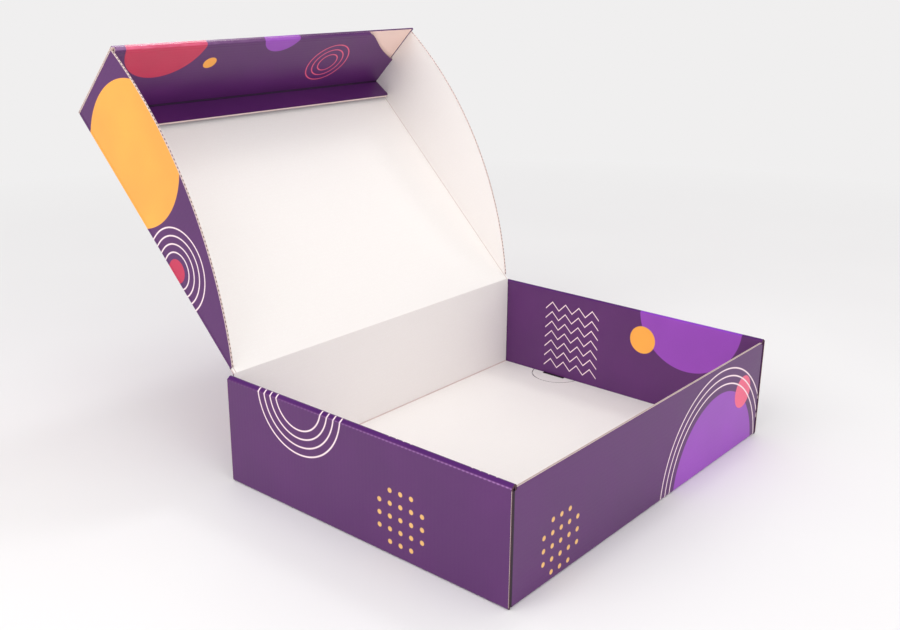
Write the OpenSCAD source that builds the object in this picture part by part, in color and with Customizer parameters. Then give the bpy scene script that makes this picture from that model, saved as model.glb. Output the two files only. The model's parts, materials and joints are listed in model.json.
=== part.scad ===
// Presentation box: a roll-end mailer folded from one printed corrugated sheet.
// The tray has rolled double side walls that lock into the base with tabs. The lid
// hinges on the back wall and carries a rolled front flap and two curved side flaps.
// The origin is at the middle of the base's underside, the front is -Y and up is +Z.

/* [Board] */
// Thickness of the corrugated board
board = 1.5; // [1:0.1:2.5]
// Inside radius of the folds round the base and the walls
fold_r = 0.5; // [0.3:0.1:1.2]
// Inside radius of the two creases along the top of a rolled side wall
crease_r = 0.3; // [0.2:0.05:0.45]
// Room between plies that lie against each other
ply_gap = 0.15; // [0.1:0.05:0.4]

/* [Tray] */
// Width of the tray over its side walls
tray_w = 328; // [220:1:480]
// Depth of the tray from front to back
tray_d = 250; // [200:1:380]
// Height of the tray to the top of its side walls
tray_h = 81; // [76:1:140]
// How far the front wall stands below the side walls
front_drop = 2.5; // [1:0.5:6]
// Slope of a side wall's rolled top, outward and down
roll_slope = 40; // [0:5:55]
// Length of the flaps of the front and back walls that the side walls trap
dust_len = 92; // [40:1:96]
// Height left free above a trapped flap, under the rolled top
dust_room = 1.5; // [0.5:0.5:8]

/* [Locks] */
// Width of a locking tab of a side wall's inner ply
tab_w = 22; // [12:1:30]
// Distance from a side wall's end to the middle of its tab
tab_inset = 57; // [36:1:90]
// Length of the half-moon tongue beside a tab, along the wall
tongue_len = 45; // [40:1:64]
// Reach of the tongue into the floor
tongue_reach = 18; // [8:1:19]
// Width of the cut round the tongue
kerf = 0.6; // [0.3:0.1:1]
// How far a tab stops short of the base's underside
tab_short = 0.3; // [0.1:0.1:0.8]
// Room beside and behind a tab in its slot
slot_clear = 0.25; // [0.1:0.05:0.6]
// Room in front of a tab, where its slot stays open to view
slot_front = 3; // [0.5:0.5:6]

/* [Lid] */
// Angle of the lid from closed
lid_open = 135; // [0:5:180]
// Height of the front flap below the middle of the lid's board
flap_h = 72; // [40:1:74]
// Height of the side flaps at the crown of their curved edge
side_flap_h = 71; // [40:1:74]
// Distance from the hinge to that crown
side_flap_crown = 200; // [120:1:210]
// Distance from the hinge to the start of a side flap
side_flap_start = 4; // [2:0.5:10]
// Height of a side flap at that end, where its curve begins
side_flap_heel = 2; // [1:0.5:6]
// Width of the flange that ends the front flap's inner ply
flange_w = 22; // [8:1:30]
// Cut across the corners of the flange's free edge
flange_chamfer = 2.5; // [1:0.5:6]
// Angle by which the flange springs off the lid
flange_spring = 10; // [0:1:15]
// Room between the flange's fold and the lid's inside
flange_rise = 1; // [0.4:0.1:3]
// Corner cut away from the inner ply's right end: length along the free edge
ear_w = 54; // [20:1:70]
// Corner cut away from the inner ply's right end: height from the free edge
ear_h = 39; // [20:1:50]
// Room between the two plies of the front flap
flap_ply_gap = 1.1; // [0.4:0.1:1.2]

/* [Clearances] */
// Gap along a crease that turns, and under the closed lid
run_gap = 0.3; // [0.2:0.05:0.6]
// Room between a side flap and the side wall that it slides into
side_clear = 0.5; // [0.3:0.1:2]
// Room between the front flap's corner and the front wall as the lid closes
swing_clear = 0.6; // [0.4:0.1:3]

/* [Hidden] */
// Largest turn between two points of a fold
bend_step = 15;
// Overlap by which joined pieces of one sheet run into each other
lap = 2 * board;
// Overshoot of a cutting shape past the faces that it cuts
cut_over = 1;
// Shares of the cut corner's size that shape its curve
ear_shoulder = 0.1;
ear_bow = [0.68, 0.55];
ear_points = 12;

half_w = tray_w / 2;
half_d = tray_d / 2;
fold_out = fold_r + board;
crease_out = crease_r + board;

// A rolled side wall holds an outer ply, a trapped flap and an inner ply
roll = 3 * board + 2 * ply_gap;
strip_run = (roll - 2 * crease_out) / cos(roll_slope);
outer_crease_z = tray_h - crease_out - strip_run * sin(roll_slope);
ply_bottom = board + ply_gap;
neck_z = outer_crease_z - dust_room;
trapped_x = half_w - board - ply_gap;
wall_end_x = trapped_x - fold_out;

// The lid turns about the middle of its own back edge, just above the back wall
hinge_y = half_d - board / 2;
hinge_z = tray_h + run_gap + board / 2;
lid_w = tray_w - 2 * roll - 2 * side_clear;

// The lid is as long as the front flap's corner allows while it swings past the front wall
wall_reach = norm([hinge_y + half_d - board, hinge_z - tray_h + front_drop]);
lid_reach = sqrt(pow(wall_reach - swing_clear, 2) - pow(flap_h, 2));
flap_y = lid_reach - board / 2;
panel_end = lid_reach - board - run_gap;
panel_half_w = lid_w / 2 - board - run_gap;
side_axis_x = lid_w / 2 - board / 2;

// One arc from the hinge end over the crown shapes a side flap's free edge
side_run = side_flap_crown - side_flap_start;
side_rise = side_flap_h - side_flap_heel;
side_arc_r = (pow(side_run, 2) + pow(side_rise, 2)) / (2 * side_rise);

// A tongue's arc has its ends at the wall and its middle at its reach
tongue_r = (pow(tongue_len / 2, 2) + pow(tongue_reach, 2)) / (2 * tongue_reach);

$fn = 96;

print_colour = "#74497d";
inside_colour = "#f4ecec";

// Unit vector to the left of a heading
function left_of(a) = [-sin(a), cos(a)];

// Points of a bend that starts at p with heading a, each with its heading
function bend(p, a, turn, r) =
    let (count = ceil(abs(turn) / bend_step),
         side = sign(turn),
         centre = p + side * r * left_of(a))
    [for (k = [1 : count]) let (b = a + turn * k / count) [centre - side * r * left_of(b), b]];

// Points along the middle of the board: each step is a run, a turn and its inside radius
function sheet_path(steps, p, a, i = 0) =
    i == len(steps) ? [] :
    let (q = p + steps[i][0] * [cos(a), sin(a)],
         turned = steps[i][1] == 0 ? [] : bend(q, a, steps[i][1], steps[i][2] + board / 2),
         end = len(turned) == 0 ? [q, a] : turned[len(turned) - 1])
    concat([[q, a]], turned, sheet_path(steps, end[0], end[1], i + 1));

// Section of a folded sheet, one board thick
module sheet_section(start, heading, steps) {
    path = concat([[start, heading]], sheet_path(steps, start, heading));
    count = len(path);
    polygon(concat(
        [for (f = path) f[0] + board / 2 * left_of(f[1])],
        [for (i = [count - 1 : -1 : 0]) path[i][0] - board / 2 * left_of(path[i][1])]));
}

// Sections drawn in X and Z run along Y, and those drawn in Y and Z run along X
module along_y(length) {
    rotate([90, 0, 0]) linear_extrude(length, center = true) children();
}
module along_x(length) {
    rotate([90, 0, 90]) linear_extrude(length, center = true) children();
}

// Copies for the left and the right
module both_sides() {
    children();
    mirror([1, 0, 0]) children();
}

// Copies for the front and the back
module both_ends() {
    children();
    mirror([0, 1, 0]) children();
}

module at_locks() {
    both_sides() both_ends() translate([half_w - roll, half_d - tab_inset, 0]) children();
}

// The base and both rolled side walls are one run of sheet
module rolled_sheet() {
    ply_run = tray_h - crease_out - ply_bottom;
    wall_run = outer_crease_z - fold_out;
    along_y(tray_d) sheet_section([roll - half_w - board / 2, ply_bottom], 90, [
        [ply_run, 90 + roll_slope, crease_r],
        [strip_run, 90 - roll_slope, crease_r],
        [wall_run, 90, fold_r],
        [tray_w - 2 * fold_out, 90, fold_r],
        [wall_run, 90 - roll_slope, crease_r],
        [strip_run, 90 + roll_slope, crease_r],
        [ply_run, 0, 0]]);
}

// Room in the rolled sheet for the front or back wall and its trapped flaps
module end_cut() {
    translate([-trapped_x, half_d - fold_out, -cut_over])
        cube([2 * trapped_x, fold_out + cut_over, neck_z + ply_gap + cut_over]);
}

// A wall folded up from the back of the base, with the two flaps that the side walls trap
module end_wall(top_z) {
    difference() {
        along_x(2 * wall_end_x)
            sheet_section([half_d - fold_out - lap, board / 2], 0,
                [[lap, 90, fold_r], [top_z - fold_out, 0, 0]]);
        both_sides() translate([lid_w / 2, half_d - board - cut_over, neck_z])
            cube([roll, board + 2 * cut_over, tray_h]);
    }
    both_sides() translate([0, 0, ply_bottom]) linear_extrude(neck_z - ply_bottom)
        sheet_section([wall_end_x - lap, half_d - board / 2], 0,
            [[lap, -90, fold_r], [dust_len - fold_out, 0, 0]]);
}

module lock_tab() {
    translate([0, -tab_w / 2, tab_short]) cube([board, tab_w, ply_bottom + lap - tab_short]);
}

module lock_slot() {
    translate([-slot_front, -tab_w / 2 - slot_clear, -cut_over])
        cube([slot_front + board + slot_clear, tab_w + 2 * slot_clear, board + 2 * cut_over]);
}

// Half-moon cut that lets the floor give way beside a tab
module tongue_cut() {
    intersection() {
        translate([tongue_r - tongue_reach, 0, -cut_over]) difference() {
            cylinder(h = board + 2 * cut_over, r = tongue_r + kerf / 2);
            translate([0, 0, -cut_over])
                cylinder(h = board + 4 * cut_over, r = tongue_r - kerf / 2);
        }
        translate([-2 * tongue_reach, -tongue_len, -cut_over])
            cube([2 * tongue_reach, 2 * tongue_len, board + 2 * cut_over]);
    }
}

module tray() {
    color(print_colour) {
        difference() {
            rolled_sheet();
            both_ends() end_cut();
            at_locks() lock_slot();
            at_locks() tongue_cut();
        }
        end_wall(tray_h);
        mirror([0, 1, 0]) end_wall(tray_h - front_drop);
        at_locks() lock_tab();
    }
}

// Lid pieces are drawn closed about the hinge axis, with the front at -Y, then opened
module on_lid() {
    translate([0, hinge_y, hinge_z]) rotate([-lid_open, 0, 0]) children();
}

// Round edge of a piece, on the axis of its crease
module crease_along_x(length) {
    rotate([0, 90, 0]) cylinder(h = length, d = board, center = true);
}
module crease_along_y(length) {
    rotate([90, 0, 0]) cylinder(h = length, d = board);
}

module lid_panel() {
    color(inside_colour) on_lid() {
        crease_along_x(lid_w);
        translate([-panel_half_w, -panel_end, -board / 2]) cube([2 * panel_half_w, panel_end, board]);
        translate([-lid_w / 2, run_gap - side_flap_start, -board / 2])
            cube([lid_w, side_flap_start - run_gap, board]);
    }
}

// Side flap in its own plane: distance from the hinge, then height
module side_flap_outline() {
    intersection() {
        translate([side_flap_crown, side_flap_h - side_arc_r]) circle(side_arc_r, $fn = 360);
        translate([side_flap_start, 0])
            square([panel_end - side_flap_start, side_flap_h + cut_over]);
    }
}

module side_flap() {
    translate([side_axis_x, -side_flap_start, 0]) crease_along_y(panel_end - side_flap_start);
    translate([side_axis_x, 0, 0]) rotate([0, 0, -90]) rotate([-90, 0, 0])
        linear_extrude(board, center = true) side_flap_outline();
}

module lid_side_flap_right() {
    color(inside_colour) on_lid() side_flap();
}

module lid_side_flap_left() {
    color(inside_colour) on_lid() mirror([1, 0, 0]) side_flap();
}

// Curve of the cut-away corner: distance in from the lid's edge, then down from the free edge
function ear_curve() =
    let (top = [ear_w * (1 + ear_shoulder), 0],
         shoulder = [ear_w * (1 - ear_shoulder), 0],
         bow = [ear_w * ear_bow[0], ear_h * ear_bow[1]],
         foot = [0, ear_h])
    [for (k = [0 : ear_points]) let (u = k / ear_points, v = 1 - u)
        v * v * v * top + 3 * v * v * u * shoulder + 3 * v * u * u * bow + u * u * u * foot];

module ear_cut() {
    polygon(concat(
        [for (p = ear_curve()) [lid_w / 2 - p[0], p[1] - flap_h]],
        [[lid_w / 2 + cut_over, ear_h - flap_h],
         [lid_w / 2 + cut_over, -flap_h - cut_over],
         [lid_w / 2 - ear_w * (1 + ear_shoulder), -flap_h - cut_over]]));
}

// Corner cut off the flange's free edge, which lies flange_w behind the inner ply's front
module flange_corner_cut() {
    flange_end = board + flap_ply_gap + flange_w - lid_reach;
    translate([panel_half_w, flange_end, -flap_h / 2]) rotate([0, 0, 45])
        cube([sqrt(2) * flange_chamfer, 2 * flange_chamfer, flap_h], center = true);
}

// The flap's sheet turns round at its free edge, comes back as an inner ply and ends in a flange
module flap_roll() {
    turn_r = flap_ply_gap / 2;
    turn_out = turn_r + board;
    inner_top = board / 2 + flange_rise + fold_out;
    back_turn = -90 - flange_spring;
    difference() {
        along_x(2 * panel_half_w) sheet_section([-flap_y, -flap_h + turn_out + lap], -90, [
            [lap, 180, turn_r],
            [flap_h - turn_out - inner_top, back_turn, fold_r],
            [flange_w - fold_out, 0, 0]]);
        along_y(4 * tray_d) ear_cut();
        both_sides() flange_corner_cut();
    }
}

module lid_front_flap() {
    color(print_colour) on_lid() {
        translate([0, -flap_y, 0]) crease_along_x(lid_w);
        translate([-lid_w / 2, -lid_reach, -flap_h]) cube([lid_w, board, flap_h]);
        flap_roll();
    }
}

tray();
lid_panel();
lid_front_flap();
lid_side_flap_left();
lid_side_flap_right();
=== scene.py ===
# %% [markdown]
# # A presentation box of fine-flute board
# The real box is one die-cut sheet of corrugated board, printed on one side and folded up.
# The CAD frame already has every panel in its place. This lesson adds what a sheet of real board
# has on top of that: the print, the white liner, the raw fluted edges, the beaded folds and the
# thin skin of paper that runs across each crease.

# %% Load the frame
import json
import math
from functools import reduce

import bpy
from mathutils import Matrix, Vector


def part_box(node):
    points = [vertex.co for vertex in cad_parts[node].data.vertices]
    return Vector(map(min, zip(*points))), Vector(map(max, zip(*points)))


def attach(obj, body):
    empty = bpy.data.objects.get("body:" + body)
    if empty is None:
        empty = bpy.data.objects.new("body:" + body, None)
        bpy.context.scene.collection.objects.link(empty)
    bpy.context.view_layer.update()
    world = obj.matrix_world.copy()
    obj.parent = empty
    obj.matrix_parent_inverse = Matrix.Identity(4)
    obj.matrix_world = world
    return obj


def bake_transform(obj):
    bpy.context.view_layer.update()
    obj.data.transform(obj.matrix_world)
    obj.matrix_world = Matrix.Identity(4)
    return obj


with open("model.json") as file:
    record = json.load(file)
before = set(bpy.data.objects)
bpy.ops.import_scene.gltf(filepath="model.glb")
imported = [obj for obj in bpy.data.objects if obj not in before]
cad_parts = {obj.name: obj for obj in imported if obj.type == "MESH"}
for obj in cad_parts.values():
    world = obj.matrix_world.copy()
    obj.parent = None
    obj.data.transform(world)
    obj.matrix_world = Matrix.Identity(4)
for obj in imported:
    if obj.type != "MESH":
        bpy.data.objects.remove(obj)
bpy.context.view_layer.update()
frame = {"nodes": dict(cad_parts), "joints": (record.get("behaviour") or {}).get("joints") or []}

# %% [markdown]
# ## Sizes that the pieces share
# A piece that sits on the board has to agree with it, so the places come from the frame: the boxes
# of the nodes and the axes of the creases. Only what can't be read there is written as a number.

# %% Sizes of the board and its creases
mm = 0.001
board = 1.5 * mm
liner = 0.2 * mm
flute_pitch = 3.2 * mm
skin_gap = 0.05 * mm
skin_thick = 0.1 * mm
both_sides = ((-1, "left"), (1, "right"))

tray_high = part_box("tray")[1]
half_w, half_d, tray_h = tray_high.x, tray_high.y, tray_high.z
joints = {joint["name"]: joint for joint in frame["joints"]}
hinge = Vector(joints["lid_hinge"]["pos_m"])
lid_open = math.radians(-joints["lid_hinge"]["range_deg"][0])
lid_rest = Matrix.Translation(hinge) @ Matrix.Rotation(-lid_open, 4, "X")
lid_flat = lid_rest.inverted()
flap_fold = lid_flat @ Vector(joints["front_flap_fold"]["pos_m"])
side_fold = lid_flat @ Vector(joints["right_flap_fold"]["pos_m"])
lid_half_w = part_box("lid_panel")[1].x
print("lid opened by", round(math.degrees(lid_open)), "degrees; flap fold in mm:",
      [round(value / mm, 2) for value in flap_fold])

# %% [markdown]
# ## The camera
# A camera that stands where the photographer stood makes every later comparison honest. The place
# and the angles below come from fitting the tray's and the lid's corners to the picture.

# %% Camera
camera_place = Vector((-0.5963, -0.4426, 0.3590))
camera_turn, camera_dip, camera_roll = (math.radians(a) for a in (49.93, 18.36, -0.48))
looking = Vector((math.cos(camera_dip) * math.sin(camera_turn),
                  math.cos(camera_dip) * math.cos(camera_turn),
                  -math.sin(camera_dip)))
bpy.ops.object.select_all(action="DESELECT")
bpy.ops.object.camera_add(location=camera_place)
camera = bpy.context.object
level = looking.to_track_quat("-Z", "Y").to_matrix().to_4x4()
camera.matrix_world = (Matrix.Translation(camera_place)
                       @ Matrix.Rotation(camera_roll, 4, looking) @ level)
camera.data.sensor_width = 36
camera.data.lens = 42.68
camera.data.clip_start, camera.data.clip_end = 0.01, 50
bpy.context.scene.camera = camera
print("camera lens in mm:", camera.data.lens)

# %% [markdown]
# ## A small toolbox for modelling
# Each new piece starts as a plane, is shaped in edit mode and is finished with modifiers. These few
# helpers do what the hand does in Blender's window: start a sheet, pick some of its points, apply
# a modifier, and put the finished piece in its place with its numbers moved into the mesh.


# %% Modelling helpers
def start_sheet(name, along_x, along_y):
    """A flat sheet in the XY plane whose corner is at the origin."""
    bpy.ops.object.select_all(action="DESELECT")
    bpy.ops.mesh.primitive_plane_add(size=1, location=(along_x / 2, along_y / 2, 0))
    sheet = bpy.context.object
    sheet.name = sheet.data.name = name
    sheet.scale = (along_x, along_y, 1)
    bpy.ops.object.transform_apply(location=True, rotation=False, scale=True)
    return sheet


def pick(piece, test):
    """Goes into edit mode with just the points that pass the test selected."""
    bpy.ops.object.mode_set(mode="EDIT")
    bpy.ops.mesh.select_mode(type="VERT")
    bpy.ops.mesh.select_all(action="DESELECT")
    bpy.ops.object.mode_set(mode="OBJECT")
    for vertex in piece.data.vertices:
        vertex.select = test(vertex.co)
    bpy.ops.object.mode_set(mode="EDIT")
    bpy.ops.mesh.select_mode(type="VERT")


def leave_edit():
    bpy.ops.object.mode_set(mode="OBJECT")


def shift(piece, way):
    """Moves all the points of a piece."""
    pick(piece, lambda point: True)
    bpy.ops.transform.translate(value=way)
    leave_edit()


def finish_with(piece, kind, **settings):
    """Adds a modifier with these settings and applies it."""
    modifier = piece.modifiers.new(kind.title(), kind)
    for name, value in settings.items():
        setattr(modifier, name, value)
    bpy.ops.object.modifier_apply(modifier=modifier.name)


def repeat(piece, cell, count):
    """Repeats a piece that is one cell long, along X, and welds the copies together."""
    finish_with(piece, "ARRAY", count=count, relative_offset_displace=(1, 0, 0),
                use_merge_vertices=True, merge_threshold=cell / 50)


def put(piece, place):
    """Moves the piece to its place and leaves its object at the origin."""
    bpy.ops.object.select_all(action="DESELECT")
    piece.select_set(True)
    bpy.context.view_layer.objects.active = piece
    piece.matrix_world = place
    bpy.ops.object.transform_apply(location=True, rotation=True, scale=True)
    bpy.ops.object.mode_set(mode="EDIT")
    bpy.ops.mesh.select_all(action="SELECT")
    bpy.ops.mesh.normals_make_consistent(inside=False)
    leave_edit()


def joined(pieces):
    """Joins the pieces into the first one."""
    bpy.ops.object.select_all(action="DESELECT")
    for piece in pieces:
        piece.select_set(True)
    bpy.context.view_layer.objects.active = pieces[0]
    bpy.ops.object.join()
    return pieces[0]


def tell(piece):
    print(piece.name, len(piece.data.polygons), "faces")


def axes(x_axis, y_axis, z_axis, origin):
    """The matrix that lays a piece's own X, Y and Z along these directions."""
    turn = Matrix((x_axis, y_axis, z_axis)).transposed().to_4x4()
    return Matrix.Translation(Vector(origin)) @ turn


# %% [markdown]
# ## Raw edges that show the flutes
# Where the die cuts across the flutes, the board's edge shows two thin liners with a paper wave
# between them. It could be painted, but the edge would stay flat in a close view. Here one short
# length of paper is repeated by an Array, its points are lifted in turn to make the wave, and a
# Solidify gives it the thickness of paper. The liners are two straight strips beside it.

# %% Fluted strip, straight along X
phases = 8
edge_proud = 0.12 * mm
edge_sunk = 0.1 * mm
paper = 0.15 * mm
swing = (board - 2 * liner - paper) / 2


def paper_strip(name, cell, count):
    """A band of paper along X, sunk a little under the edge that it stands on."""
    strip = start_sheet(name, cell, edge_proud + edge_sunk)
    repeat(strip, cell, count)
    shift(strip, (-cell * count / 2, -edge_sunk, 0))
    return strip


def liner_bands(name, length, sides=(-1, 1)):
    """The cut edges of the board's liners, along X."""
    cells = round(length / flute_pitch)
    bands = []
    for side in sides:
        band = paper_strip(name + "_liner", length / cells, cells)
        shift(band, (0, 0, side * (board - liner) / 2))
        finish_with(band, "SOLIDIFY", thickness=liner, offset=0)
        bands.append(band)
    return bands


def fluted_strip(name, length):
    """A straight raw edge along X: a wave of paper between two liners."""
    flutes = round(length / flute_pitch)
    cell = length / (flutes * phases)
    wave = paper_strip(name, cell, flutes * phases)
    for phase in range(phases):
        lift = swing * math.sin(2 * math.pi * phase / phases)
        pick(wave, lambda point: round(point.x / cell) % phases == phase)
        bpy.ops.transform.translate(value=(0, 0, lift))
        leave_edit()
    finish_with(wave, "SOLIDIFY", thickness=paper, offset=0)
    return joined([wave, *liner_bands(name, length)])


# %% [markdown]
# The free edge of a lid side flap is one long arc. The straight strip is bent onto it with a Simple
# Deform modifier, whose bend turns a straight bar of length L through an angle into an arc of
# radius L / angle. The same strip, left straight, ends the front flap.

# %% Arc of the side flaps
wing_height, wing_crown = 71 * mm, 200 * mm
wing_start, wing_heel = 4 * mm, 2 * mm
crease_room = 0.3 * mm
wing_end = -flap_fold.y - board / 2 - crease_room
wing_run, wing_rise = wing_crown - wing_start, wing_height - wing_heel
arc_radius = (wing_run ** 2 + wing_rise ** 2) / (2 * wing_rise)
arc_centre = Vector((0, -wing_crown, arc_radius - wing_height))
arc_first = math.asin(wing_run / arc_radius)
arc_last = -math.asin((wing_end - wing_crown) / arc_radius)
arc_span, arc_middle = arc_first - arc_last, (arc_first + arc_last) / 2
outward = Vector((0, math.sin(arc_middle), -math.cos(arc_middle)))
along_arc = Vector((0, math.cos(arc_middle), math.sin(arc_middle)))
print("arc radius in mm:", round(arc_radius / mm, 1), "length:", round(arc_radius * arc_span / mm, 1))

# %% Fluted edges of the side flaps
cut_edges = []


def lay_edge(edge, place, body):
    """Puts a finished edge in its place on a body."""
    put(edge, place)
    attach(edge, body)
    cut_edges.append(edge)
    tell(edge)


for side, word in both_sides:
    body = "side_flap_" + word
    edge = fluted_strip("fluted_edge_" + body, arc_radius * arc_span)
    finish_with(edge, "SIMPLE_DEFORM", deform_method="BEND", deform_axis="Z", angle=-arc_span)
    middle = arc_centre + outward * arc_radius + Vector((side * side_fold.x, 0, 0))
    lay_edge(edge, lid_rest @ axes(along_arc, outward, Vector((-1, 0, 0)), middle), body)

# %% [markdown]
# The front flap's outer ply is cut square at both ends, again across the flutes, so the same strip
# is laid there without the bend. It stops short of the crease above and of the turned edge below.

# %% Fluted ends of the front flap
flap_height, flap_end_short = 72 * mm, 4 * mm
for side, word in both_sides:
    edge = fluted_strip("fluted_edge_front_flap_" + word, flap_height - flap_end_short)
    middle = flap_fold + Vector((side * lid_half_w, 0, -flap_height / 2))
    place = axes(Vector((0, 0, 1)), Vector((side, 0, 0)), Vector((0, side, 0)), middle)
    lay_edge(edge, lid_rest @ place, "front_flap")

# %% [markdown]
# The top of the tray's front wall, the ends of its side walls and the flange of the front flap are cut
# along the flutes. No wave shows there: just the edges of the liners beside the dark hollow of one
# open flute. At the end of a side wall the inner liner is crushed out of sight by the fold.

# %% Cut edges along the flutes
front_drop = 2.5 * mm
ply_room = 1.1 * mm
bend_inside = 0.5 * mm
flange_width, flange_rise, flange_spring = 22 * mm, 1 * mm, math.radians(10)
flange_way = Vector((0, math.cos(flange_spring), -math.sin(flange_spring)))
flange_up = Vector((0, math.sin(flange_spring), math.cos(flange_spring)))
bend_middle = flap_fold + Vector((0, 1.5 * board + ply_room + bend_inside,
                                  -1.5 * board - flange_rise - bend_inside))
flange_end = (bend_middle + flange_up * (bend_inside + board / 2)
              + flange_way * (flange_width - bend_inside - board))
flange_inset = 4.5 * mm


def lay_cut_edge(name, length, place, body, sides=(-1, 1)):
    """Lays an edge that shows only the cut liners."""
    edge = joined(liner_bands(name, length, sides))
    edge.name = edge.data.name = name
    lay_edge(edge, place, body)


lay_cut_edge("cut_edge_front_wall", 2 * lid_half_w, axes(
    Vector((1, 0, 0)), Vector((0, 0, 1)), Vector((0, -1, 0)),
    (0, board / 2 - half_d, tray_h - front_drop)), "tray")
lay_cut_edge("cut_edge_flange", 2 * (lid_half_w - flange_inset), lid_rest @ axes(
    Vector((1, 0, 0)), flange_way, flange_up, flange_end), "front_flap")
end_low, end_short = 2 * mm, 3.2 * mm
end_high = tray_h - end_short
for side, word in both_sides:
    for end, place in ((-1, "front"), (1, "back")):
        middle = (side * (half_w - board / 2), end * half_d, (end_low + end_high) / 2)
        lay_cut_edge(f"cut_end_{word}_wall_{place}", end_high - end_low, axes(
            Vector((0, 0, 1)), Vector((0, end, 0)), Vector((-end, 0, 0)), middle), "tray", (-end * side,))

# %% [markdown]
# ## Beaded folds
# A fold that crosses the flutes crushes each one a little, so it catches the light as a row of
# beads, one to a flute. On the rolled side walls that row is the brightest line of the whole tray.
# An edge is spun round the fold's axis to make a short quarter-round of paper, an Array repeats
# it along the wall, and its points are pushed out in turn, most in the middle of the fold.

# %% Beaded fold along the top of a side wall
crease_inside, roll_room = 0.3 * mm, 0.3 * mm
crease_radius = board + crease_inside
roll_slope = math.radians(40)
roll_width = 3 * board + roll_room
strip_rise = (roll_width - 2 * crease_radius) * math.tan(roll_slope)
fold_height = tray_h - crease_radius - strip_rise
fold_steps, fold_lap, same_angle = 6, math.radians(6), 0.02
fold_turn = math.pi / 2 - roll_slope + 2 * fold_lap
bead_push = 0.22 * mm
bead_share = (-0.25, 0.3, 0.8, 1.0, 0.8, 0.3, -0.25)


def angle_in_fold(point):
    return math.atan2(point.z, point.y)


def beaded_fold(name, length):
    """A rounded fold along X with a bead to each flute, and 1 or -1 for the way it was spun."""
    flutes = round(length / flute_pitch)
    cell = length / (flutes * phases)
    fold = start_sheet(name, cell, crease_radius)
    pick(fold, lambda point: point.y < crease_radius / 2)
    bpy.ops.mesh.delete(type="VERT")
    pick(fold, lambda point: True)
    bpy.ops.mesh.spin(steps=fold_steps, angle=fold_turn, center=(0, 0, 0), axis=(1, 0, 0))
    leave_edit()
    turned = 1 if max(v.co.z for v in fold.data.vertices) > crease_radius / 2 else -1
    repeat(fold, cell, flutes * phases)
    for step, share in enumerate(bead_share):
        at = turned * fold_turn * step / fold_steps
        for phase in range(phases):
            swell = 0.5 + 0.5 * math.cos(2 * math.pi * phase / phases)
            push = bead_push * share * (swell if share > 0 else 1)
            pick(fold, lambda point: abs(angle_in_fold(point) - at) < same_angle
                 and round(point.x / cell) % phases == phase)
            bpy.ops.transform.translate(value=(0, push * math.cos(at), push * math.sin(at)))
            leave_edit()
    shift(fold, (-length / 2, 0, 0))
    return fold, turned


roll_folds = []
for side, word in both_sides:
    fold, turned = beaded_fold("beaded_fold_" + word, 2 * half_d)
    first = Vector((side * math.cos(fold_lap), 0, -math.sin(fold_lap)))
    upward = Vector((side * math.sin(fold_lap), 0, math.cos(fold_lap))) * turned
    along = first.cross(upward)
    put(fold, axes(along, first, upward, (side * (half_w - crease_radius), 0, fold_height)))
    bpy.ops.object.shade_smooth()
    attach(fold, "tray")
    roll_folds.append(fold)
    print(fold.name, len(fold.data.polygons), "faces, turned", turned)

# %% [markdown]
# ## The front flap's turned edge
# The flap's free edge is a soft roll, where the sheet turns right round along its flutes. Seen almost
# edge-on, it mirrors the pale surroundings as one clean bright line, so it has to be smooth: an
# edge is spun half round the roll's axis, in fine steps, just above the CAD's own roll.

# %% Turned edge of the front flap
turn_radius = board + ply_room / 2
turn_steps = 24
turn_middle = flap_fold + Vector((0, board / 2 + ply_room / 2, turn_radius - flap_height))
turn_inset, cut_away = 1.9 * mm, 59.8 * mm
turned_left, turned_right = turn_inset - lid_half_w, lid_half_w - cut_away
turned_edge = start_sheet("turned_flap_edge", turned_right - turned_left, turn_radius)
pick(turned_edge, lambda point: point.y > turn_radius / 2)
bpy.ops.mesh.delete(type="VERT")
pick(turned_edge, lambda point: True)
bpy.ops.transform.translate(value=(turned_left, -turn_radius - skin_gap, 0))
bpy.ops.mesh.spin(steps=turn_steps, angle=math.pi, center=(0, 0, 0), axis=(1, 0, 0))
leave_edit()
if max(vertex.co.z for vertex in turned_edge.data.vertices) > turn_radius / 2:
    pick(turned_edge, lambda point: True)
    bpy.ops.transform.resize(value=(1, 1, -1))
    leave_edit()
finish_with(turned_edge, "SOLIDIFY", thickness=skin_thick, offset=0)
put(turned_edge, lid_rest @ Matrix.Translation(turn_middle))
bpy.ops.object.shade_smooth_by_angle(angle=math.radians(40))
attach(turned_edge, "front_flap")
tell(turned_edge)

# %% [markdown]
# ## Paper skin over the creases that move
# In the CAD a round edge with a hair of room stands for each crease that turns. On the real sheet
# the liner runs across it without a break. A strip of paper is extruded round the crease, point by
# point, at rest.

# %% Skins over the creases
skin_out = board / 2 + skin_gap + skin_thick / 2


def crease_skin(name, path, length, place):
    """A strip along X that is extruded through the path's points in the YZ plane."""
    skin = start_sheet(name, length, board)
    pick(skin, lambda point: point.y > board / 2)
    bpy.ops.mesh.delete(type="VERT")
    pick(skin, lambda point: True)
    bpy.ops.transform.translate(value=(-length / 2, path[0][0], path[0][1]))
    for (y0, z0), (y1, z1) in zip(path, path[1:]):
        bpy.ops.mesh.extrude_region_move(TRANSFORM_OT_translate={"value": (0, y1 - y0, z1 - z0)})
    leave_edit()
    finish_with(skin, "SOLIDIFY", thickness=skin_thick, offset=0)
    put(skin, place)
    bpy.ops.object.shade_smooth_by_angle(angle=math.radians(30))
    rest = skin.data.attributes.new("rest_point", "FLOAT_VECTOR", "POINT")
    for vertex, kept in zip(skin.data.vertices, rest.data):
        kept.vector = vertex.co
    return skin


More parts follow.
